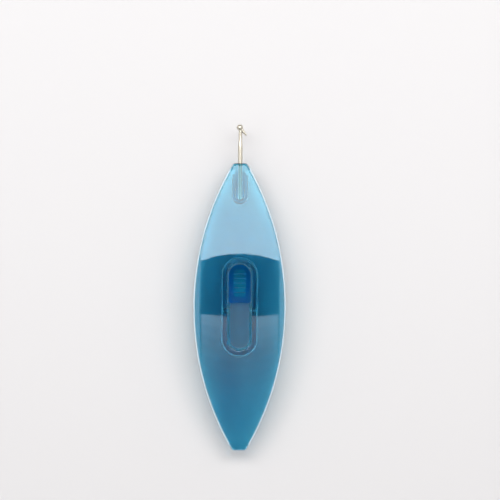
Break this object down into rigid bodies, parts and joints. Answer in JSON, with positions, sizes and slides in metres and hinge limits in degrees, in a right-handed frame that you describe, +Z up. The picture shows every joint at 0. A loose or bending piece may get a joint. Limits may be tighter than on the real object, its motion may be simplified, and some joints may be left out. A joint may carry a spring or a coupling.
{
  "type": "tatting shuttle",
  "caption": "Post-type tatting shuttle: twin crowned blades of clear blue plastic on a hollow post, with a steel crochet hook at one tip.",
  "frame": {"origin": "under the middle of the whole shuttle, hook included, on the surface that it lies on", "axes": "+Y along the shuttle towards the hook's head, +X across it towards the hook's lip, +Z up through the post"},
  "size_m": [0.0264, 0.0936, 0.0126],
  "materials": {
    "blue_plastic": "clear ocean-blue moulded plastic, polished",
    "key_plastic": "clear deep-blue moulded plastic, polished",
    "hook_steel": "polished steel wire"
  },
  "bodies": {
    "root": {"top_blade": "blue_plastic", "bottom_blade": "blue_plastic", "post_key": "key_plastic", "hook": "hook_steel"}
  },
  "joints": []
}
